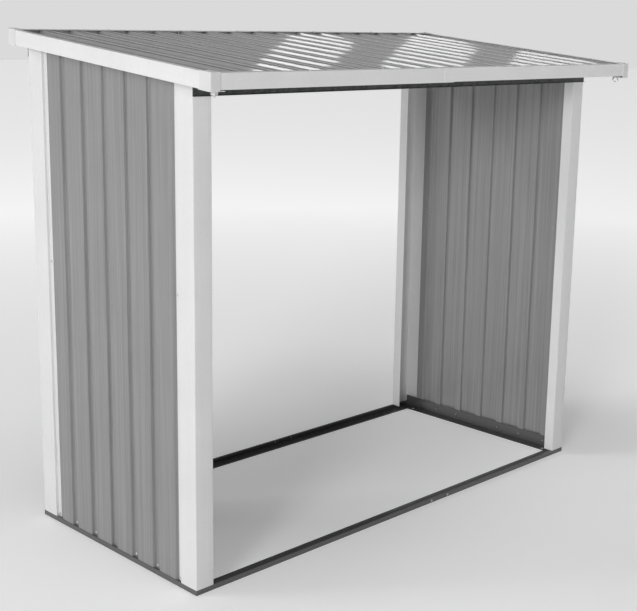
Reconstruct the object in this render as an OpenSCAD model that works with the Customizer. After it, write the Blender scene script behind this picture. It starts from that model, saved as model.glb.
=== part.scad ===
// Open-fronted steel shelter for stacked firewood.
// Frame: X along the width, front towards -Y, Z up. Origin on the ground, under the centre of the
// roof's outline. Lengths in millimetres.

/* [Overall] */
// width over the roof trims' corner caps
roof_w = 1720; // [1400:10:2200]
// width over the base rails and posts
base_w = 1612; // [1300:1:2100]
// depth over the base rails and posts
base_d = 720; // [600:1:900]
// how far the roof reaches past the front posts
front_overhang = 131; // [80:1:200]
// how far the roof reaches past the rear posts
rear_overhang = 12; // [8:1:60]
// height of the roof trims' top edge at the front
eave_h = 1324; // [900:1:1900]
// fall of the roof towards the front, in degrees
roof_pitch = 5.8; // [3:0.1:9]

/* [Base rails] */
// sheet thickness of the frame pieces
frame_t = 1; // [0.8:0.1:1.5]
// height of a rail's outer face
rail_h = 14; // [10:1:20]
// depth of the ledge that the posts stand on
ledge_d = 10.5; // [10.5:0.1:14]
// top of the upstand behind the wall sheets
upstand_h = 40; // [30:1:60]
// lip at the back of the open front and rear rails
sill_lip = 1.5; // [1:0.1:4]
// width of the foot flange on the ground
foot_w = 45; // [35:1:60]
// where the two lengths of a front or rear rail meet
rail_seam_x = 214; // [-300:1:300]
// length of the tab that joins two lengths
rail_tab = 130; // [80:1:160]
// radius of the ground anchor holes
anchor_r = 4.5; // [3:0.5:6]
// anchor hole's distance in from the side
anchor_in = 30; // [26:1:34]
// anchor hole's distance in from the front and rear
anchor_end = 60; // [50:1:120]

/* [Posts] */
// width of a post's side face
post_side = 65; // [55:1:80]
// width of a front post's front face
post_front = 57; // [50:1:80]
// depth of the return on a front post's inner edge
post_return = 33; // [20:1:45]
// width of a rear post's rear face
post_rear = 82; // [57:1:95]
// depth of the return on a rear post's inner edge
post_rear_return = 36; // [20:1:45]
// width of the flange that laps a wall sheet
post_flange = 15; // [12:1:20]
// height of the screw half way up a post flange
flange_screw_z = 775; // [500:5:900]

/* [Profiled sheets] */
// thickness of the wall and roof sheets
sheet_t = 0.5; // [0.4:0.1:0.8]
// height of a rib
rib_h = 7.5; // [6:0.5:8]
// width across a rib's foot
rib_foot = 28; // [27:1:34]
// width across a rib's crown
rib_crown = 23; // [14:0.5:24]
// spacing of the wall sheets' grooves
wall_pitch = 96; // [90:1:100]
// middle groove's distance behind the middle of the base
wall_mid = 4; // [0:1:8]
// spacing of the roof sheets' ribs
roof_rib_pitch = 97; // [92:1:100]
// first roof rib's distance from the left edge of the roof
roof_rib_first = 108; // [60:1:120]

/* [Roof frame] */
// height of a header's face
header_h = 63; // [50:1:90]
// depth of a header's top flange
header_flange = 28; // [20:1:32]
// small lip along a header's lower edge
header_lip = 5; // [3:0.5:8]
// where the two lengths of a header meet
header_seam_x = 194; // [-300:1:300]
// height of a side top rail
top_rail_h = 45; // [30:1:60]
// width of a side top rail's flange
top_rail_w = 25; // [15:1:35]

/* [Roof trims] */
// thickness of the trims
trim_t = 0.8; // [0.6:0.1:1]
// height of the front and rear trims
fascia_h = 37; // [34:1:50]
// height of the side trims
rake_h = 41; // [38:1:52]
// width of a trim's flanges
trim_flange = 18; // [14:1:22]
// width of the rear trim's foot flange, short because the rear header is close
rear_foot = 5; // [3:1:5]
// where the two lengths of a front or rear trim meet
fascia_seam_x = -49; // [-200:1:200]
// how far the two lengths overlap
fascia_lap = 40; // [20:1:80]
// how much lower the left length's foot sits
fascia_step = 1.6; // [1:0.1:3]

/* [Corner caps] */
// cap's length along the front or rear
cap_x = 30; // [28:1:40]
// cap's length along the side
cap_y = 38; // [34:1:50]
// wall thickness of a cap
cap_t = 1.2; // [1:0.1:2]
// radius of a cap's outer corner
cap_r = 5; // [3:0.5:10]
// how far a cap stands above and below the trims
cap_rise = 1.3; // [1.3:0.1:3]
// width of the bolted plate under a front cap
cap_foot = 44; // [42:1:55]

/* [Fasteners] */
// head radius of the sheet screws
screw_head_r = 4; // [3:0.1:5]
// shank radius of the sheet screws
screw_r = 2; // [1.5:0.1:2.5]
// head height of the sheet screws
screw_head_h = 2.2; // [1.6:0.1:3]
// shank radius of the cap and header bolts
bolt_r = 3; // [2.5:0.5:4]
// height of the nuts
nut_h = 5; // [4:0.5:7]
// width across a nut's flats
nut_af = 10; // [9:1:13]
// height of the nuts under the front caps
cap_nut_h = 10; // [5:0.5:12]
// width across those nuts' flats
cap_nut_af = 16; // [10:1:17]
// length of a cap bolt below its cap
bolt_drop = 16; // [15:1:24]
// radius of a washer
washer_r = 8.5; // [6:0.5:9]
// thickness of a washer
washer_h = 1.2; // [1:0.1:2]

/* [Hidden] */

paint_light = [0.86, 0.87, 0.87];
paint_trim = [0.80, 0.81, 0.81];
paint_wall = [0.60, 0.60, 0.60];
paint_roof = [0.62, 0.63, 0.63];
rail_dark = [0.33, 0.34, 0.35];
galvanised = [0.55, 0.56, 0.57];
cap_plastic = [0.83, 0.84, 0.84];
zinc = [0.75, 0.76, 0.77];

clear = 0.05;
seat_gap = 0.03;
round_fn = 48;
base_x = base_w / 2;
roof_x = roof_w / 2;
roof_d = base_d + front_overhang + rear_overhang;
roof_y = roof_d / 2;
front_y = front_overhang - roof_y;
rear_y = front_y + base_d;
slope = tan(roof_pitch);
trim_tv = trim_t / cos(roof_pitch);
sheet_face = ledge_d - frame_t;
groove_face = sheet_face - sheet_t;
pan_drop = (rib_h + 2 * sheet_t) / cos(roof_pitch) + 2 * trim_tv + 0.1;
trim_out = roof_x - cap_t;
fascia_end = trim_out - trim_flange - 2;
roof_ribs = 17;
lap_ribs = [5, 11];
wall_screw_ribs = [-2, -1, 1, 2];
fascia_screw_x = [-541, -285, -56, 41, 283, 561];
front_screw_len = 16;
rear_screw_len = 7;
header_bolt_in = [22, 42];
splice_screw_in = [24, 100];
cap_bolt_in = [33, 25];
cap_screw_in = [11, 12];

// Height of the trims' top edge at a distance y from the origin.
function trim_z(y) = eave_h + (y + roof_y) * slope;
// Underside of the roof sheets' pans.
function pan_z(y) = trim_z(y) - pan_drop;
function rib_x(k) = roof_rib_first - roof_x + k * roof_rib_pitch;
function groove_y(k) = (front_y + rear_y) / 2 + wall_mid + k * wall_pitch;
function reversed(list) = [for (i = [len(list) - 1 : -1 : 0]) list[i]];

// Line across a row of ribs, one rise for each centre.
function rib_line(centres, start, end) = concat(
  [[start, 0]],
  [for (c = centres, p = [[-rib_foot, 0], [-rib_crown, 1], [rib_crown, 1], [rib_foot, 0]])
    [c + p[0] / 2, p[1] * rib_h]],
  [[end, 0]]
);

// Closed outline of a sheet of even thickness above a line.
function sheet_outline(line) = concat(line, reversed([for (p = line) [p[0], p[1] + sheet_t]]));

module along_x(x0, x1) {
  translate([x0, 0, 0]) rotate([90, 0, 90]) linear_extrude(x1 - x0) children();
}

module along_y(y0, y1) {
  translate([0, y1, 0]) rotate([90, 0, 0]) linear_extrude(y1 - y0) children();
}

module along_z(z0, z1) {
  translate([0, 0, z0]) linear_extrude(z1 - z0) children();
}

// Everything below the roof pans, lowered by gap.
module under_roof(gap) {
  along_x(-roof_x, roof_x)
    polygon([[-roof_y, 0], [roof_y, 0], [roof_y, pan_z(roof_y) - gap], [-roof_y, pan_z(-roof_y) - gap]]);
}

// Strip that follows the roof's fall between two heights below the trims' top edge.
module sloped_strip(x0, x1, y0, y1, top, bottom) {
  along_x(x0, x1)
    polygon([
      [y0, trim_z(y0) - bottom], [y1, trim_z(y1) - bottom],
      [y1, trim_z(y1) - top], [y0, trim_z(y0) - top]
    ]);
}

module pan_head_screw(length) {
  rotate_extrude($fn = round_fn)
    polygon([[0, -length], [screw_r, -length], [screw_r, 0], [screw_head_r, 0], [screw_head_r, 0.8],
      [screw_head_r * 0.6, screw_head_h], [0, screw_head_h]]);
}

module screw_bore(length) {
  translate([0, 0, -length]) cylinder(r = screw_r + clear, h = 2 * length, $fn = round_fn);
}

module hex_nut(across, height) {
  difference() {
    cylinder(d = across / cos(30), h = height, $fn = 6);
    translate([0, 0, -1]) cylinder(r = bolt_r + clear, h = height + 2, $fn = round_fn);
  }
}

// Base rails

module rail_outline(top) {
  polygon([[0, 0], [foot_w, 0], [foot_w, frame_t], [frame_t, frame_t], [frame_t, rail_h - frame_t],
    [ledge_d, rail_h - frame_t], [ledge_d, top], [ledge_d - frame_t, top], [ledge_d - frame_t, rail_h],
    [0, rail_h]]);
}

// Plan area of a rail along the front, with mitred ends.
module front_mitre() {
  along_z(-1, upstand_h + 1)
    polygon([[-base_x, front_y], [base_x, front_y], [base_x - foot_w, front_y + foot_w],
      [foot_w - base_x, front_y + foot_w]]);
}

module left_mitre() {
  along_z(-1, upstand_h + 1)
    polygon([[-base_x, front_y], [foot_w - base_x, front_y + foot_w], [foot_w - base_x, rear_y - foot_w],
      [-base_x, rear_y]]);
}

module splice_bores() {
  for (d = splice_screw_in)
    translate([rail_seam_x - d, front_y, rail_h / 2]) rotate([90, 0, 0]) screw_bore(8);
}

module front_rail_part(x0, x1) {
  intersection() {
    translate([0, front_y, 0]) along_x(x0, x1) rail_outline(rail_h + sill_lip);
    front_mitre();
  }
}

module rail_left_length() {
  difference() {
    front_rail_part(-base_x, rail_seam_x - clear);
    splice_bores();
  }
}

module rail_right_length() {
  difference() {
    union() {
      front_rail_part(rail_seam_x, base_x);
      translate([rail_seam_x - rail_tab, front_y + frame_t, frame_t])
        cube([rail_tab + 20, frame_t, rail_h - 2 * frame_t]);
    }
    splice_bores();
  }
}

module to_rear() {
  mirror([0, 1, 0]) translate([0, -(front_y + rear_y), 0]) children();
}

module front_base_rail_left() { color(rail_dark) rail_left_length(); }
module front_base_rail_right() { color(rail_dark) rail_right_length(); }
module rear_base_rail_left() { color(rail_dark) to_rear() rail_left_length(); }
module rear_base_rail_right() { color(rail_dark) to_rear() rail_right_length(); }

module left_base_rail() {
  color(rail_dark) difference() {
    intersection() {
      translate([-base_x, 0, 0]) along_y(front_y, rear_y) rail_outline(upstand_h);
      left_mitre();
    }
    for (y = [front_y + anchor_end, rear_y - anchor_end])
      translate([anchor_in - base_x, y, -1]) cylinder(r = anchor_r, h = frame_t + 2, $fn = round_fn);
    wall_foot_places() screw_bore(10);
    flange_screw_places([0, 1]) screw_bore(6);
  }
}

module right_base_rail() { color(rail_dark) mirror([1, 0, 0]) left_base_rail(); }

// Posts

// Section of a corner post: outer corner at the origin, u along X, v along Y.
module post_outline(face, back) {
  polygon([[0, 0], [face, 0], [face, back], [face - frame_t, back], [face - frame_t, frame_t],
    [frame_t, frame_t], [frame_t, post_side - frame_t], [groove_face, post_side - frame_t],
    [groove_face, post_side + post_flange], [groove_face - frame_t, post_side + post_flange],
    [groove_face - frame_t, post_side], [0, post_side]]);
}

// Post with a slot that lets its return stand over the sill's lip.
module post_shaft(face, back) {
  difference() {
    linear_extrude(trim_z(roof_y)) post_outline(face, back);
    translate([face - frame_t - 1, ledge_d - frame_t - clear, -1])
      cube([frame_t + 2, frame_t + 2 * clear, sill_lip + 1 + clear]);
  }
}

module front_left_post() {
  color(paint_light) difference() {
    intersection() {
      translate([-base_x, front_y, rail_h]) post_shaft(post_front, post_return);
      under_roof(frame_t);
    }
    flange_screw_places([0]) screw_bore(6);
    header_bolt_places() bolt_bore();
  }
}

module rear_left_post() {
  color(paint_light) difference() {
    intersection() {
      translate([-base_x, rear_y, rail_h]) mirror([0, 1, 0]) post_shaft(post_rear, post_rear_return);
      under_roof(frame_t);
    }
    flange_screw_places([1]) screw_bore(6);
    rear_header_bolt_places() bolt_bore();
  }
}

module front_right_post() { color(paint_light) mirror([1, 0, 0]) front_left_post(); }
module rear_right_post() { color(paint_light) mirror([1, 0, 0]) rear_left_post(); }

// Wall sheets and the rails above them

wall_start = front_y + post_side - 5;
wall_end = rear_y - post_side + 5;
wall_rise = front_y + post_side + post_flange + 10;
wall_fall = rear_y - post_side - post_flange - 16;

// Plan line of a wall sheet: floors at the posts' flanges, flats between the grooves.
function wall_line() = concat(
  [[0, wall_start], [0, wall_rise - 5], [rib_h, wall_rise]],
  [for (k = [-2 : 2], p = [[-rib_foot, 1], [-rib_crown, 0], [rib_crown, 0], [rib_foot, 1]])
    [p[1] * rib_h, groove_y(k) + p[0] / 2]],
  [[rib_h, wall_fall], [0, wall_fall + 5], [0, wall_end]]
);

module left_wall_outline() {
  line = wall_line();
  outer = [for (p = line) [groove_face - p[0] - base_x, p[1]]];
  polygon(concat(outer, reversed([for (p = outer) [p[0] + sheet_t, p[1]]])));
}

module left_wall_sheet() {
  color(paint_wall) difference() {
    intersection() {
      along_z(rail_h, trim_z(roof_y)) left_wall_outline();
      under_roof(sheet_t);
    }
    wall_foot_places() screw_bore(6);
    flange_screw_places([0, 1]) screw_bore(6);
  }
}

module right_wall_sheet() { color(paint_wall) mirror([1, 0, 0]) left_wall_sheet(); }

module left_top_rail() {
  x0 = sheet_face - base_x;
  y0 = front_y + frame_t + clear;
  y1 = rear_y - frame_t - clear;
  top = pan_drop + frame_t + clear;
  color(galvanised) difference() {
    union() {
      sloped_strip(x0, x0 + frame_t, y0, y1, top, top + top_rail_h);
      sloped_strip(x0, x0 + top_rail_w, y0, y1, top, top + frame_t);
    }
    flange_screw_places([0, 1]) screw_bore(6);
  }
}

module right_top_rail() { color(galvanised) mirror([1, 0, 0]) left_top_rail(); }

// Headers

// Side view of a header. The face lies at y, and inwards points at the middle of the shelter.
module header_outline(y, inwards) {
  base = pan_z(y) - header_h;
  out = y - inwards * frame_t;
  lip = out - inwards * header_lip;
  back = y + inwards * header_flange;
  polygon([[lip, base], [y, base], [y, pan_z(y) - frame_t], [back, pan_z(back) - frame_t],
    [back, pan_z(back)], [out, pan_z(out)], [out, base + frame_t], [lip, base + frame_t]]);
}

module header_splice(y, inwards) {
  y0 = min(y, y + inwards * frame_t);
  translate([header_seam_x - 60, y0, pan_z(y) - header_h + 6]) cube([80, frame_t, header_h - 12]);
}

module front_header_left() {
  color(galvanised) difference() {
    along_x(-base_x, header_seam_x - clear) header_outline(front_y, 1);
    header_bolt_places() bolt_bore();
    header_splice_places(front_y, 1) bolt_bore();
  }
}

module front_header_right() {
  color(galvanised) difference() {
    union() {
      along_x(header_seam_x, base_x) header_outline(front_y, 1);
      header_splice(front_y, 1);
    }
    mirror([1, 0, 0]) header_bolt_places() bolt_bore();
    header_splice_places(front_y, 1) bolt_bore();
  }
}

module rear_header_left() {
  color(galvanised) difference() {
    along_x(-base_x, header_seam_x - clear) header_outline(rear_y, -1);
    rear_header_bolt_places() bolt_bore();
    header_splice_places(rear_y, -1) bolt_bore();
  }
}

module rear_header_right() {
  color(galvanised) difference() {
    union() {
      along_x(header_seam_x, base_x) header_outline(rear_y, -1);
      header_splice(rear_y, -1);
    }
    mirror([1, 0, 0]) rear_header_bolt_places() bolt_bore();
    header_splice_places(rear_y, -1) bolt_bore();
  }
}

// Roof sheets

module roof_sheet(first, last, start, end, lift) {
  centres = [for (k = [first : last]) rib_x(k)];
  difference() {
    translate([0, -roof_y, pan_z(-roof_y)]) rotate([roof_pitch, 0, 0]) translate([0, 0, lift + seat_gap])
      along_y(5, roof_d / cos(roof_pitch) - 5) polygon(sheet_outline(rib_line(centres, start, end)));
    front_fascia_places() screw_bore(20);
  }
}

sheet_edge = trim_out - trim_t - 2;
lap_edge = rib_foot / 2 + 8;

module roof_sheet_left() {
  color(paint_roof) roof_sheet(0, lap_ribs[0], -sheet_edge, rib_x(lap_ribs[0]) + lap_edge, 0);
}

module roof_sheet_middle() {
  color(paint_roof)
    roof_sheet(
      lap_ribs[0], lap_ribs[1], rib_x(lap_ribs[0]) - lap_edge, rib_x(lap_ribs[1]) + lap_edge, sheet_t
    );
}

module roof_sheet_right() {
  color(paint_roof) roof_sheet(lap_ribs[1], roof_ribs - 1, rib_x(lap_ribs[1]) - lap_edge, sheet_edge, 0);
}

// Roof trims

// Top flange, face and foot flange of a front or rear trim, set back and lowered where it laps
// under the other length. The foot sits lower by step.
module fascia_part(end, x0, x1, foot_x0, setback, drop, step) {
  out = end * (roof_y - cap_t - setback);
  face = [out, out - end * trim_t];
  back = out - end * trim_flange;
  foot = out - end * (end < 0 ? trim_flange : rear_foot);
  foot_z = trim_z(end * roof_y) - fascia_h - step;
  y0 = min(out, back);
  y1 = max(out, back);
  sloped_strip(x0, x1, y0, y1, drop, drop + trim_tv);
  along_x(x0, x1)
    polygon([[face[0], foot_z], [face[1], foot_z],
      [face[1], trim_z(face[1]) - drop - trim_tv / 2], [face[0], trim_z(face[0]) - drop - trim_tv / 2]]);
  translate([foot_x0, min(out, foot), foot_z]) cube([x1 - foot_x0, abs(out - foot), trim_t]);
}

module fascia_left_length(end) {
  fascia_part(end, -fascia_end, fascia_seam_x + fascia_lap, -fascia_end, trim_t, trim_tv, fascia_step);
}

module fascia_right_length(end) {
  fascia_part(end, fascia_seam_x, fascia_end, fascia_seam_x + fascia_lap + 1, 0, 0, 0);
}

module front_fascia_left() {
  color(paint_trim) difference() {
    fascia_left_length(-1);
    front_fascia_places() screw_bore(20);
  }
}

module front_fascia_right() {
  color(paint_trim) difference() {
    fascia_right_length(-1);
    front_fascia_places() screw_bore(20);
  }
}

module rear_fascia_left() {
  color(paint_trim) difference() {
    fascia_left_length(1);
    rear_fascia_places() screw_bore(20);
  }
}

module rear_fascia_right() {
  color(paint_trim) difference() {
    fascia_right_length(1);
    rear_fascia_places() screw_bore(20);
  }
}

module left_rake_trim() {
  y0 = cap_r - roof_y;
  y1 = roof_y - cap_r;
  color(paint_light) difference() {
    union() {
      sloped_strip(-trim_out, trim_t - trim_out, y0, y1, 0, rake_h);
      sloped_strip(-trim_out, trim_flange - trim_out, y0, y1, 0, trim_tv);
      sloped_strip(-trim_out, trim_flange - trim_out, y0, y1, rake_h - trim_tv, rake_h);
    }
    cap_screw_places([-1], [-1, 1]) screw_bore(10);
  }
}

module right_rake_trim() { color(paint_light) mirror([1, 0, 0]) left_rake_trim(); }

// Corner caps

// Plan of a rectangle at the corner, inset from the outer faces, with the outer corner rounded.
module cap_plan(width, length, inset) {
  r = cap_r - inset;
  translate([inset - roof_x, inset - roof_y]) difference() {
    square([width - inset, length - inset]);
    difference() {
      square(r);
      translate([r, r]) circle(r = r, $fn = round_fn);
    }
  }
}

// Slab of a cap at the left side, between two heights below the trims' top edge.
// End is -1 at the front and 1 at the rear.
module cap_slab(end, width, length, inset, top, bottom) {
  intersection() {
    sloped_strip(-roof_x, 0, min(0, end * roof_y), max(0, end * roof_y), top, bottom);
    along_z(0, trim_z(roof_y) + 10) mirror([0, end > 0 ? 1 : 0]) cap_plan(width, length, inset);
  }
}

module left_cap(end) {
  difference() {
    union() {
      cap_slab(end, cap_x, cap_y, 0, -cap_rise, rake_h + cap_rise);
      if (end < 0) cap_slab(end, cap_foot, cap_foot, 0, rake_h, rake_h + cap_rise);
    }
    cap_slab(end, cap_x + 1, cap_y + 1, cap_t, 0, rake_h);
    cap_screw_places([-1], [end]) screw_bore(10);
    if (end < 0) cap_bolt_places([-1]) bolt_bore();
  }
}

module front_left_cap() { color(cap_plastic) left_cap(-1); }
module front_right_cap() { color(cap_plastic) mirror([1, 0, 0]) left_cap(-1); }
module rear_left_cap() { color(cap_plastic) left_cap(1); }
module rear_right_cap() { color(cap_plastic) mirror([1, 0, 0]) left_cap(1); }

// Places of the fasteners: the local +Z axis points out of the surface under the head

module wall_foot_places() {
  for (k = wall_screw_ribs)
    translate([groove_face - base_x, groove_y(k) + 3, rail_h + 8]) rotate([0, -90, 0]) children();
}

// Flange screws of the left side's front post (0) and rear post (1).
module flange_screw_places(posts) {
  y = [front_y + post_side + post_flange / 2, rear_y - post_side - post_flange / 2];
  for (i = posts, z = [rail_h + 8, flange_screw_z, pan_z(y[i]) - 25])
    translate([groove_face - frame_t - base_x, y[i], z]) rotate([0, -90, 0]) children();
}

module header_bolt_places() {
  for (d = header_bolt_in)
    translate([d - base_x, front_y - frame_t, pan_z(front_y) - 24]) rotate([90, 0, 0]) children();
}

module rear_header_bolt_places() {
  for (d = header_bolt_in)
    translate([d - base_x, rear_y + frame_t, pan_z(rear_y) - 24]) rotate([-90, 0, 0]) children();
}

module header_splice_places(y, inwards) {
  for (d = [15, 45])
    translate([header_seam_x - d, y - inwards * frame_t, pan_z(y) - 24])
      rotate([90 * inwards, 0, 0]) children();
}

module front_fascia_places() {
  for (x = fascia_screw_x) fascia_screw_place(x, -1) children();
}

module rear_fascia_places() {
  for (x = fascia_screw_x) fascia_screw_place(x, 1) children();
}

module fascia_screw_place(x, end) {
  y = end * (roof_y - 11);
  drop = x < fascia_seam_x ? trim_tv : 0;
  translate([x, y, trim_z(y) - drop]) rotate([roof_pitch, 0, 0]) children();
}

module cap_screw_places(sides, ends) {
  for (i = sides, j = ends)
    translate([i * (roof_x - cap_screw_in[0]), j * (roof_y - cap_screw_in[1]),
      trim_z(j * (roof_y - cap_screw_in[1])) + cap_rise])
      rotate([roof_pitch, 0, 0]) children();
}

// Under the front caps. The local +Z axis points down.
module cap_bolt_places(sides) {
  for (i = sides)
    translate([i * (roof_x - cap_bolt_in[0]), cap_bolt_in[1] - roof_y,
      trim_z(cap_bolt_in[1] - roof_y) - rake_h - cap_rise])
      rotate([180 + roof_pitch, 0, 0]) children();
}

// Fasteners

module bolt_bore() {
  translate([0, 0, -12]) cylinder(r = bolt_r + clear, h = 24, $fn = round_fn);
}

module frame_bolt() {
  cylinder(r = 5.5, h = 3, $fn = round_fn);
  translate([0, 0, -10]) cylinder(r = bolt_r, h = 10, $fn = round_fn);
}

module wall_foot_screws_left() { color(zinc) wall_foot_places() pan_head_screw(6); }
module wall_foot_screws_right() { color(zinc) mirror([1, 0, 0]) wall_foot_screws_left(); }
module post_flange_screws_left() { color(zinc) flange_screw_places([0, 1]) pan_head_screw(6); }
module post_flange_screws_right() { color(zinc) mirror([1, 0, 0]) post_flange_screws_left(); }

module all_header_places() {
  header_bolt_places() children();
  rear_header_bolt_places() children();
  mirror([1, 0, 0]) header_bolt_places() children();
  mirror([1, 0, 0]) rear_header_bolt_places() children();
  header_splice_places(front_y, 1) children();
  header_splice_places(rear_y, -1) children();
}

module header_bolts() { color(zinc) all_header_places() frame_bolt(); }
module header_nuts() {
  color(zinc) all_header_places() translate([0, 0, -2 * frame_t - nut_h]) hex_nut(nut_af, nut_h);
}

module splice_screw_row() {
  for (d = splice_screw_in)
    translate([rail_seam_x - d, front_y, rail_h / 2]) rotate([90, 0, 0]) pan_head_screw(6);
}

module base_splice_screws() {
  color(zinc) {
    splice_screw_row();
    to_rear() splice_screw_row();
  }
}

module front_fascia_screws() { color(zinc) front_fascia_places() pan_head_screw(front_screw_len); }
module rear_fascia_screws() { color(zinc) rear_fascia_places() pan_head_screw(rear_screw_len); }
module cap_screws() { color(zinc) cap_screw_places([-1, 1], [-1, 1]) pan_head_screw(8); }

module cap_bolts() {
  color(zinc) cap_bolt_places([-1, 1]) {
    translate([0, 0, -cap_rise - 3]) cylinder(r = 5, h = 3, $fn = round_fn);
    translate([0, 0, -cap_rise - 1]) cylinder(r = bolt_r, h = cap_rise + 1 + bolt_drop, $fn = round_fn);
  }
}

module cap_washers() {
  color(zinc) cap_bolt_places([-1, 1]) difference() {
    cylinder(r = washer_r, h = washer_h, $fn = round_fn);
    translate([0, 0, -1]) cylinder(r = bolt_r + clear, h = washer_h + 2, $fn = round_fn);
  }
}

module cap_nuts() {
  color(zinc) cap_bolt_places([-1, 1]) translate([0, 0, washer_h]) hex_nut(cap_nut_af, cap_nut_h);
}

front_base_rail_left();
front_base_rail_right();
rear_base_rail_left();
rear_base_rail_right();
left_base_rail();
right_base_rail();
front_left_post();
front_right_post();
rear_left_post();
rear_right_post();
left_wall_sheet();
right_wall_sheet();
left_top_rail();
right_top_rail();
front_header_left();
front_header_right();
rear_header_left();
rear_header_right();
roof_sheet_left();
roof_sheet_middle();
roof_sheet_right();
front_fascia_left();
front_fascia_right();
rear_fascia_left();
rear_fascia_right();
left_rake_trim();
right_rake_trim();
front_left_cap();
front_right_cap();
rear_left_cap();
rear_right_cap();
wall_foot_screws_left();
wall_foot_screws_right();
post_flange_screws_left();
post_flange_screws_right();
header_bolts();
header_nuts();
base_splice_screws();
front_fascia_screws();
rear_fascia_screws();
cap_screws();
cap_bolts();
cap_washers();
cap_nuts();
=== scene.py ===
import math

import bmesh
import bpy
from mathutils import Matrix, Vector, noise


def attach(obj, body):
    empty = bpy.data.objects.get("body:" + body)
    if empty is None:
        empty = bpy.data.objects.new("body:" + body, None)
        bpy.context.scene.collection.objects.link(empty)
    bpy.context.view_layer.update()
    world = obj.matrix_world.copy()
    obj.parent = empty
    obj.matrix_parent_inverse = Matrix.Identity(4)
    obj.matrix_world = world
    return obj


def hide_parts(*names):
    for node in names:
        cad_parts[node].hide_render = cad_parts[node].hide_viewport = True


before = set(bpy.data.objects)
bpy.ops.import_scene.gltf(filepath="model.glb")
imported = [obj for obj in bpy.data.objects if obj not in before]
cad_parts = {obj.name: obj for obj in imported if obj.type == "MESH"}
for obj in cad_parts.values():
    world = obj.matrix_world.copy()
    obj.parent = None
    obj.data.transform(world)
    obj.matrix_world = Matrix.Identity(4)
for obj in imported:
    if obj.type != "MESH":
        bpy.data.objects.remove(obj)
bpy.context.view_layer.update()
scene = bpy.context.scene


# ---------------------------------------------------------------- shader helpers

class Shader:
    """Node tree of one material, with short calls for the nodes used here."""

    def __init__(self, name):
        self.material = bpy.data.materials.new(name)
        self.material.use_nodes = True
        self.tree = self.material.node_tree
        self.tree.nodes.clear()
        self.output = self.tree.nodes.new("ShaderNodeOutputMaterial")
        self.bsdf = self.tree.nodes.new("ShaderNodeBsdfPrincipled")
        self.link(self.bsdf.outputs["BSDF"], self.output.inputs["Surface"])
        self.place = self.tree.nodes.new("ShaderNodeTexCoord").outputs["Object"]

    def link(self, source, target):
        self.tree.links.new(source, target)

    def node(self, kind, inputs=None, **settings):
        made = self.tree.nodes.new(kind)
        for key, value in settings.items():
            setattr(made, key, value)
        for key, value in (inputs or {}).items():
            if isinstance(value, bpy.types.NodeSocket):
                self.link(value, made.inputs[key])
            else:
                made.inputs[key].default_value = value
        return made

    def scaled(self, scale, offset=(0, 0, 0)):
        inputs = {"Vector": self.place, "Scale": scale, "Location": offset}
        return self.node("ShaderNodeMapping", inputs).outputs[0]

    def noise(self, scale, detail=2.0, rough=0.5, vector=None):
        made = self.node("ShaderNodeTexNoise", {"Vector": vector or self.place, "Scale": scale,
                                                "Detail": detail, "Roughness": rough})
        return made.outputs["Fac"]

    def spread(self, value, low, high, start=0.0, end=1.0):
        made = self.node("ShaderNodeMapRange", {"Value": value, "From Min": start, "From Max": end,
                                                "To Min": low, "To Max": high})
        return made.outputs[0]

    def math(self, operation, a, b=0.0):
        return self.node("ShaderNodeMath", {0: a, 1: b}, operation=operation).outputs[0]

    def grey(self, value):
        return self.node("ShaderNodeCombineColor", {0: value, 1: value, 2: value}).outputs[0]

    def tinted(self, value, tint):
        parts = {i: self.math("MULTIPLY", value, t) for i, t in enumerate(tint)}
        return self.node("ShaderNodeCombineColor", parts).outputs[0]

    def bump(self, height, strength, distance):
        made = self.node("ShaderNodeBump", {"Height": height, "Strength": strength, "Distance": distance})
        self.link(made.outputs["Normal"], self.bsdf.inputs["Normal"])

    def set(self, **values):
        for key, value in values.items():
            socket = self.bsdf.inputs[key.replace("_", " ")]
            if isinstance(value, bpy.types.NodeSocket):
                self.link(value, socket)
            else:
                socket.default_value = value


def painted_steel(name, tone, streak, along, gloss, coat=0.4, coat_gloss=0.12, shine=0.5):
    """Coil-coated sheet: broad and fine rolling streaks along one direction, clouds, dust and orange peel."""
    s = Shader(name)

    def lines(across, length, detail):
        stretch = tuple(length if i == along else across for i in range(3))
        return s.noise(1.0, detail, 0.75, s.scaled(stretch))

    broad = s.spread(lines(110.0, 0.7, 3), -1, 1, 0.3, 0.7)
    fine = s.spread(lines(330.0, 3.0, 2), -0.7, 0.7, 0.3, 0.7)
    clouds = s.noise(5.0, 3)
    dust = s.noise(160.0, 2, 0.7)
    shade = s.math("MULTIPLY", s.math("ADD", broad, fine), streak)
    shade = s.math("ADD", shade, s.spread(clouds, 0.97, 1.03, 0.3, 0.7))
    shade = s.math("ADD", shade, s.spread(dust, -0.02, 0.02, 0.3, 0.7))
    s.set(Base_Color=s.grey(s.math("MULTIPLY", shade, tone)))
    s.set(Roughness=s.spread(s.math("ADD", clouds, broad), gloss - 0.05, gloss + 0.08, 0.0, 1.4))
    s.set(Metallic=0.0, Specular_IOR_Level=shine, Coat_Weight=coat, Coat_Roughness=coat_gloss)
    s.bump(s.math("ADD", s.noise(420.0, 2), s.math("MULTIPLY", broad, 0.5)), 0.1, 0.0003)
    return s.material


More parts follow.
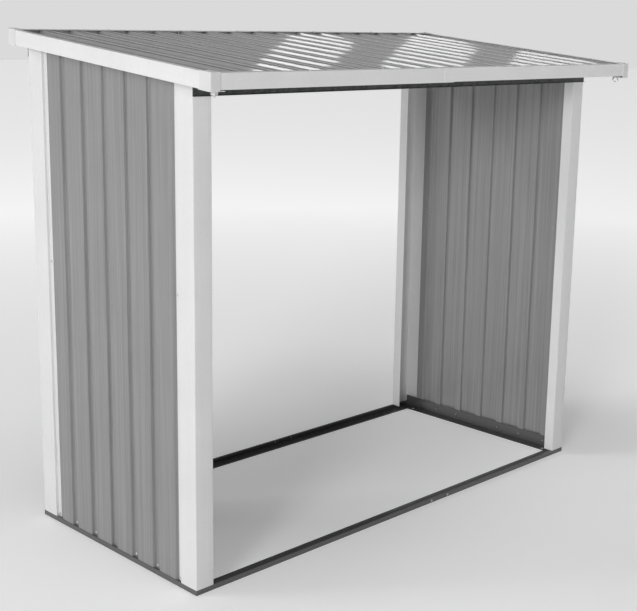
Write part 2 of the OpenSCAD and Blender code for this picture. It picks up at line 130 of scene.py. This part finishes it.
def galvanised_steel(name, tone, rough):
    """Hot-dip zinc: crystals of differing brightness, with a grain of small specks."""
    s = Shader(name)
    bent = s.node("ShaderNodeVectorMath", {0: s.place, 1: s.spread(s.noise(90.0, 2), -0.004, 0.004)})
    bent = bent.outputs[0]
    cell = s.node("ShaderNodeTexVoronoi", {"Vector": bent, "Scale": 95.0}).outputs["Color"]
    crystal = s.node("ShaderNodeSeparateColor", {0: cell}).outputs[0]
    specks = s.noise(520.0, 3, 0.7)
    shade = s.math("ADD", s.spread(crystal, 0.6, 1.3), s.spread(specks, -0.5, 0.6, 0.3, 0.7))
    s.set(Base_Color=s.tinted(s.math("MULTIPLY", shade, tone), (0.98, 1.0, 1.02)))
    s.set(Roughness=s.spread(crystal, rough - 0.08, rough + 0.12), Metallic=0.85)
    s.bump(s.math("ADD", crystal, specks), 0.1, 0.0003)
    return s.material


def zinc_plate(name):
    s = Shader(name)
    smear = s.noise(900.0, 3, 0.6)
    s.set(Base_Color=s.tinted(s.spread(smear, 0.42, 0.62), (1.0, 1.0, 0.98)))
    s.set(Roughness=s.spread(smear, 0.25, 0.45), Metallic=0.9)
    s.bump(s.noise(1500.0, 2), 0.1, 0.0001)
    return s.material


def moulded_plastic(name, tone):
    s = Shader(name)
    grain = s.noise(1100.0, 3, 0.6)
    clouds = s.noise(18.0, 2)
    shade = s.math("ADD", s.spread(clouds, 0.97, 1.03), s.spread(grain, -0.03, 0.03, 0.3, 0.7))
    s.set(Base_Color=s.tinted(s.math("MULTIPLY", shade, tone), (1.0, 1.0, 1.0)))
    s.set(Roughness=s.spread(grain, 0.42, 0.58), Metallic=0.0, Specular_IOR_Level=0.45)
    s.bump(grain, 0.25, 0.0002)
    return s.material


X_AXIS, Y_AXIS, Z_AXIS = 0, 1, 2
FINISHES = {
    "base": painted_steel("dark_base_paint", 0.085, 0.06, X_AXIS, 0.4),
    "post": painted_steel("white_post_paint", 0.76, 0.01, Z_AXIS, 0.36),
    "wall": painted_steel("grey_wall_paint", 0.25, 0.17, Z_AXIS, 0.38),
    "roof": painted_steel("grey_roof_paint", 0.3, 0.06, Y_AXIS, 0.42, 1.0, 0.03, 0.25),
    "trim": painted_steel("white_trim_paint", 0.77, 0.008, X_AXIS, 0.34),
    # Painted shade: the galvanised frame's tone is set far below bare zinc so it looks as dark as the shadow
    # under the roof overhang and the dark reflections it picks up.
    "zinc": galvanised_steel("galvanised_frame_painted_shade", 0.085, 0.4),
    "screw": zinc_plate("zinc_screws"),
    "cap": moulded_plastic("grey_cap_plastic", 0.7),
}
FINISH_OF = (
    ("screws", "screw"), ("bolts", "screw"), ("nuts", "screw"), ("washers", "screw"), ("_cap", "cap"),
    ("base_rail", "base"), ("post", "post"), ("wall_sheet", "wall"), ("top_rail", "zinc"),
    ("header", "zinc"), ("roof_sheet", "roof"), ("fascia", "trim"), ("rake_trim", "trim"))


def finish_of(name):
    return next(f for part, f in FINISH_OF if part in name)


for name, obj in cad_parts.items():
    obj.data.materials.clear()
    obj.data.materials.append(FINISHES[finish_of(name)])


# ---------------------------------------------------------------- folded sheet metal

MM = 0.001
BASE_X, FRONT_Y, REAR_Y = 0.806, -0.3005, 0.4195
ROOF_X, ROOF_Y = 0.86, 0.4315
EAVE, PITCH = 1.324, math.radians(5.8)
FRAME_T, SHEET_T, TRIM_T = 1 * MM, 0.5 * MM, 0.8 * MM
RAIL_H, LEDGE_D = 14 * MM, 10.5 * MM
RIB_H, RIB_FOOT, RIB_CROWN = 7.5 * MM, 28 * MM, 23 * MM
POST_SIDE, POST_FLANGE = 65 * MM, 15 * MM
TRIM_TV = TRIM_T / math.cos(PITCH)
PAN_DROP = (RIB_H + 2 * SHEET_T) / math.cos(PITCH) + 2 * TRIM_TV + 0.1 * MM
SHEET_FACE = LEDGE_D - FRAME_T
GROOVE_FACE = SHEET_FACE - SHEET_T
CAP_T = 1.2 * MM
RAKE_H = 41 * MM
TRIM_OUT = ROOF_X - CAP_T
RAKE_RETURN, TRIM_END_GAP, ROOF_END_GAP = 18 * MM, 5 * MM, 5 * MM
WALL_RIB_SPACING, WALL_TUCK, WALL_SLOPE = 96 * MM, 5 * MM, 5 * MM
FIRST_ROOF_RIB, ROOF_RIB_SPACING = 108 * MM - ROOF_X, 97 * MM
HEADER_H, HEADER_SHELF, HEADER_LIP = 63 * MM, 28 * MM, 5 * MM
FRONT_POST, REAR_POST = (57 * MM, 33 * MM), (82 * MM, 36 * MM)


def trim_z(y):
    return EAVE + (y + ROOF_Y) * math.tan(PITCH)


def pan_z(y):
    return trim_z(y) - PAN_DROP


def roof_rib_x(k):
    return FIRST_ROOF_RIB + k * ROOF_RIB_SPACING


def with_bends(corners, radius, longest, steps=4):
    """A line with an arc at each corner, and long flats split up."""
    points = [Vector(c) for c in corners]
    line = [points[0]]
    for before, corner, after in zip(points, points[1:], points[2:]):
        arriving, leaving = (corner - before), (after - corner)
        turn = arriving.angle_signed(leaving)
        reach = min(radius * math.tan(abs(turn) / 2), arriving.length * 0.45, leaving.length * 0.45)
        first, last = corner - arriving.normalized() * reach, corner + leaving.normalized() * reach
        for i in range(steps + 1):
            s = i / steps
            line.append((1 - s) ** 2 * first + 2 * s * (1 - s) * corner + s ** 2 * last)
    line.append(points[-1])
    fine = [line[0]]
    for a, b in zip(line, line[1:]):
        parts = max(1, math.ceil((b - a).length / longest))
        fine += [a.lerp(b, i / parts) for i in range(1, parts + 1)]
    return fine


def side_steps(line):
    """Unit normal at each point of a line."""
    steps = []
    for i, _ in enumerate(line):
        along = (line[min(i + 1, len(line) - 1)] - line[max(i - 1, 0)]).normalized()
        steps.append(Vector((-along.y, along.x)))
    return steps


def folded(mesh, line, thickness, place, start, end, stations, wave=0.0, seed=0.0):
    """Adds a folded sheet to a bmesh. The sheet's section is a line of even thickness; place turns a
    section point and a distance into a point of the frame, and start and end give where each runs to."""
    steps = side_steps(line)
    grid = []
    for j in range(stations + 1):
        row = []
        for point, step in zip(line, steps):
            w0, w1 = start(point), end(point)
            w = w0 + (w1 - w0) * j / stations
            sway = wave * noise.noise(Vector((point.x * 6 + seed, point.y * 6, w * 2.3)))
            row.append([mesh.verts.new(place(*(point + step * (sway + side * thickness / 2)), w))
                        for side in (1, -1)])
        grid.append(row)
    last_j, last_i = stations, len(line) - 1
    faces = []
    for j in range(last_j):
        for i in range(last_i):
            a, b, c, d = grid[j][i], grid[j][i + 1], grid[j + 1][i + 1], grid[j + 1][i]
            faces += [(a[0], b[0], c[0], d[0]), (d[1], c[1], b[1], a[1])]
    for j in range(last_j):
        for i, flip in ((0, 1), (last_i, 0)):
            a, b = grid[j][i], grid[j + 1][i]
            faces.append((a[0], b[0], b[1], a[1]) if flip == 0 else (a[1], b[1], b[0], a[0]))
    for i in range(last_i):
        for j, flip in ((0, 0), (last_j, 1)):
            a, b = grid[j][i], grid[j][i + 1]
            faces.append((b[0], a[0], a[1], b[1]) if flip == 0 else (a[0], b[0], b[1], a[1]))
    for f in faces:
        mesh.faces.new(f)


def piece(name, mesh, finish, stands_for):
    bmesh.ops.recalc_face_normals(mesh, faces=mesh.faces)
    for face in mesh.faces:
        face.smooth = True
    data = bpy.data.meshes.new(name)
    mesh.to_mesh(data)
    mesh.free()
    data.set_sharp_from_angle(angle=math.radians(35))
    data.materials.append(FINISHES[finish])
    obj = bpy.data.objects.new(name, data)
    scene.collection.objects.link(obj)
    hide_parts(stands_for)
    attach(obj, "root")
    return obj


def constant(value):
    return lambda point: value


def post(name, left, front, face, back):
    gf = GROOVE_FACE - FRAME_T / 2
    h = FRAME_T / 2
    corners = [(face - h, back), (face - h, h), (h, h), (h, POST_SIDE - h), (gf, POST_SIDE - h),
               (gf, POST_SIDE + POST_FLANGE)]
    sx, edge_y, sy = (-1 if left else 1), (FRONT_Y if front else REAR_Y), (1 if front else -1)

    def place(u, v, w):
        return (sx * (BASE_X - u), edge_y + sy * v, w)

    mesh = bmesh.new()
    folded(mesh, with_bends(corners, 2 * MM, 0.02), FRAME_T, place, constant(RAIL_H),
           lambda p: pan_z(edge_y + sy * p.y) - FRAME_T, 40, 0.25 * MM, sx * 3 + sy)
    piece(name + "_folded", mesh, "post", name)


def wall_corners():
    mid = (FRONT_Y + REAR_Y) / 2 + 4 * MM
    rise = FRONT_Y + POST_SIDE + POST_FLANGE + 10 * MM
    fall = REAR_Y - POST_SIDE - POST_FLANGE - 16 * MM
    line = [(0, FRONT_Y + POST_SIDE - WALL_TUCK), (0, rise - WALL_SLOPE), (RIB_H, rise)]
    for k in range(-2, 3):
        centre = mid + k * WALL_RIB_SPACING
        line += [(RIB_H, centre - RIB_FOOT / 2), (0, centre - RIB_CROWN / 2), (0, centre + RIB_CROWN / 2),
                 (RIB_H, centre + RIB_FOOT / 2)]
    line += [(RIB_H, fall), (0, fall + WALL_SLOPE), (0, REAR_Y - POST_SIDE + WALL_TUCK)]
    return [(GROOVE_FACE - depth + SHEET_T / 2, y) for depth, y in line]


def wall(name, left):
    sx = -1 if left else 1

    def place(u, v, w):
        return (sx * (BASE_X - u), v, w)

    mesh = bmesh.new()
    folded(mesh, with_bends(wall_corners(), 1.8 * MM, 0.012), SHEET_T, place,
           constant(RAIL_H), lambda p: pan_z(p.y) - SHEET_T, 60, 0.5 * MM, sx * 5)
    piece(name + "_folded", mesh, "wall", name)


def roof_corners(first, last, start, end):
    line = [(start, 0)]
    for k in range(first, last + 1):
        centre = roof_rib_x(k)
        line += [(centre - RIB_FOOT / 2, 0), (centre - RIB_CROWN / 2, RIB_H), (centre + RIB_CROWN / 2, RIB_H),
                 (centre + RIB_FOOT / 2, 0)]
    return line + [(end, 0)]


def roof_sheet(name, first, last, start, end, lift):
    def place(u, v, w):
        v = v + lift + 0.03 * MM + SHEET_T / 2
        return (u, -ROOF_Y + w * math.cos(PITCH) - v * math.sin(PITCH),
                pan_z(-ROOF_Y) + w * math.sin(PITCH) + v * math.cos(PITCH))

    mesh = bmesh.new()
    length = 2 * ROOF_Y / math.cos(PITCH)
    folded(mesh, with_bends(roof_corners(first, last, start, end), 1.6 * MM, 0.012), SHEET_T, place,
           constant(ROOF_END_GAP), constant(length - ROOF_END_GAP), 36, 0.35 * MM, first + 0.5)
    piece(name + "_folded", mesh, "roof", name)


def header(name, y, inwards, x0, x1):
    base = pan_z(y) - HEADER_H
    mid = y - inwards * FRAME_T / 2
    back = y + inwards * HEADER_SHELF
    h = FRAME_T / 2
    lip = y - inwards * (FRAME_T + HEADER_LIP)
    corners = [(lip, base + h), (mid, base + h), (mid, pan_z(mid) - h), (back, pan_z(back) - h)]
    mesh = bmesh.new()
    folded(mesh, with_bends(corners, 2 * MM, 0.02), FRAME_T, lambda u, v, w: (w, u, v), constant(x0),
           constant(x1), 40, 0.2 * MM, y * 7)
    if "right" in name:
        plate_y = y + inwards * h
        plate = with_bends([(plate_y, base + 6 * MM), (plate_y, base + 57 * MM)], MM, 0.02)
        folded(mesh, plate, FRAME_T * 0.98, lambda u, v, w: (w, u, v), constant(x0 - 60 * MM),
               constant(x0 + 20 * MM), 4)
    piece(name + "_folded", mesh, "zinc", name)


def rake_trim(name, left):
    sx = -1 if left else 1
    h, hv = TRIM_T / 2, TRIM_TV / 2
    inner = TRIM_OUT - RAKE_RETURN
    corners = [(inner, RAKE_H - hv), (TRIM_OUT - h, RAKE_H - hv), (TRIM_OUT - h, hv), (inner, hv)]
    mesh = bmesh.new()
    folded(mesh, with_bends(corners, 1.6 * MM, 0.02), TRIM_T, lambda u, v, w: (sx * u, w, trim_z(w) - v),
           constant(TRIM_END_GAP - ROOF_Y), constant(ROOF_Y - TRIM_END_GAP), 30, 0.2 * MM, sx * 2)
    piece(name + "_folded", mesh, "trim", name)


for side in ("left", "right"):
    left = side == "left"
    post(f"front_{side}_post", left, True, *FRONT_POST)
    post(f"rear_{side}_post", left, False, *REAR_POST)
    wall(f"{side}_wall_sheet", left)
    rake_trim(f"{side}_rake_trim", left)
SHEET_EDGE = TRIM_OUT - TRIM_T - 2 * MM
LAP_LEFT, LAP_RIGHT = roof_rib_x(5), roof_rib_x(11)
LAP_EDGE = RIB_FOOT / 2 + 8 * MM
roof_sheet("roof_sheet_left", 0, 5, -SHEET_EDGE, LAP_LEFT + LAP_EDGE, 0)
roof_sheet("roof_sheet_middle", 5, 11, LAP_LEFT - LAP_EDGE, LAP_RIGHT + LAP_EDGE, SHEET_T)
roof_sheet("roof_sheet_right", 11, 16, LAP_RIGHT - LAP_EDGE, SHEET_EDGE, 0)
HEADER_SEAM = 194 * MM
for end, y, inwards in (("front", FRONT_Y, 1), ("rear", REAR_Y, -1)):
    header(f"{end}_header_left", y, inwards, -BASE_X, HEADER_SEAM - 0.05 * MM)
    header(f"{end}_header_right", y, inwards, HEADER_SEAM, BASE_X)


# ---------------------------------------------------------------- stage, light and camera

def stage_floor(size, tone, near_glow, far_glow, inner, outer):
    """Pale floor with a painted glow: its emission rises between two distances from the shelter, so it fades
    into a white backdrop.
    """
    mesh = bpy.data.meshes.new("floor")
    half = size / 2
    corners = [(-half, -half, 0), (half, -half, 0), (half, half, 0), (-half, half, 0)]
    mesh.from_pydata(corners, [], [(0, 1, 2, 3)])
    floor = bpy.data.objects.new("floor", mesh)
    scene.collection.objects.link(floor)
    floor.location.z = -0.0005
    s = Shader("pale_floor_painted_glow")
    far = s.node("ShaderNodeVectorMath", {0: s.place}, operation="LENGTH").outputs["Value"]
    s.set(Base_Color=s.grey(s.spread(s.noise(3.0, 2), tone - 0.01, tone + 0.01)), Roughness=0.9)
    # Painted glow: emission on the floor itself, weaker near the shelter and stronger far off.
    s.set(Emission_Color=(1, 1, 1, 1), Emission_Strength=s.spread(far, near_glow, far_glow, inner, outer))
    s.set(Specular_IOR_Level=0.1)
    mesh.materials.append(s.material)


def soft_light(name, place, target, width, height, power):
    data = bpy.data.lights.new(name, "AREA")
    data.shape, data.size, data.size_y, data.energy = "RECTANGLE", width, height, power
    lamp = bpy.data.objects.new(name, data)
    lamp.location = place
    lamp.rotation_euler = (Vector(target) - Vector(place)).to_track_quat("-Z", "Y").to_euler()
    scene.collection.objects.link(lamp)


def far_strip(name, azimuth, elevation, width, power):
    """Tall narrow light, far enough off for its reflection to run straight back along the roof's ribs."""
    level, turn = math.radians(elevation), math.radians(azimuth)
    towards = Vector((math.cos(level) * math.cos(turn), math.cos(level) * math.sin(turn), math.sin(level)))
    soft_light(name, Vector(ROOF) + STRIP_DISTANCE * towards, ROOF, width, STRIP_HEIGHT, power)


def studio_world(horizon, zenith, horizon_height):
    """Pale walls at the horizon that fade into a dimmer ceiling."""
    world = bpy.data.worlds.new("studio")
    world.use_nodes = True
    tree = world.node_tree
    background = tree.nodes["Background"]
    direction = tree.nodes.new("ShaderNodeTexCoord").outputs["Generated"]
    split = tree.nodes.new("ShaderNodeSeparateXYZ")
    tree.links.new(direction, split.inputs[0])
    fade = tree.nodes.new("ShaderNodeMapRange")
    fade.interpolation_type = "SMOOTHSTEP"
    tree.links.new(split.outputs["Z"], fade.inputs["Value"])
    settings = {"From Min": horizon_height, "From Max": horizon_height * 2.2,
                "To Min": horizon, "To Max": zenith}
    for key, value in settings.items():
        fade.inputs[key].default_value = value
    tree.links.new(fade.outputs[0], background.inputs["Strength"])
    background.inputs["Color"].default_value = (1, 1, 1, 1)
    scene.world = world


stage_floor(80.0, 0.88, 0.22, 0.64, 1.2, 6.0)
studio_world(0.7, 0.03, 0.1)
CENTRE = (0.0, 0.0, 0.7)
ROOF = (0.0, 0.0, 1.35)
STRIP_DISTANCE, STRIP_HEIGHT = 120.0, 30.0
soft_light("key", (-14.1, -6.7, 4.2), CENTRE, 3.4, 3.4, 950)
soft_light("top", (-1.0, -1.0, 8.0), CENTRE, 5.0, 5.0, 245)
far_strip("strip_left", 130.0, 23.5, 5.9, 6200)
far_strip("strip_middle", 135.6, 26.2, 6.5, 6800)
far_strip("strip_right", 143.2, 28.6, 13.0, 13600)

camera = bpy.data.objects.new("camera", bpy.data.cameras.new("camera"))
camera.data.sensor_width = 36.0
camera.data.lens = 68.03
camera.data.shift_x, camera.data.shift_y = -0.0006, -0.0289
camera.matrix_world = (Matrix.Translation((-2.5782, -2.5407, 1.4276)) @ Matrix.Rotation(-0.775, 4, "Z")
                       @ Matrix.Rotation(1.3578, 4, "X") @ Matrix.Rotation(0.0143, 4, "Z"))
scene.collection.objects.link(camera)
scene.camera = camera
scene.view_settings.view_transform = "Standard"
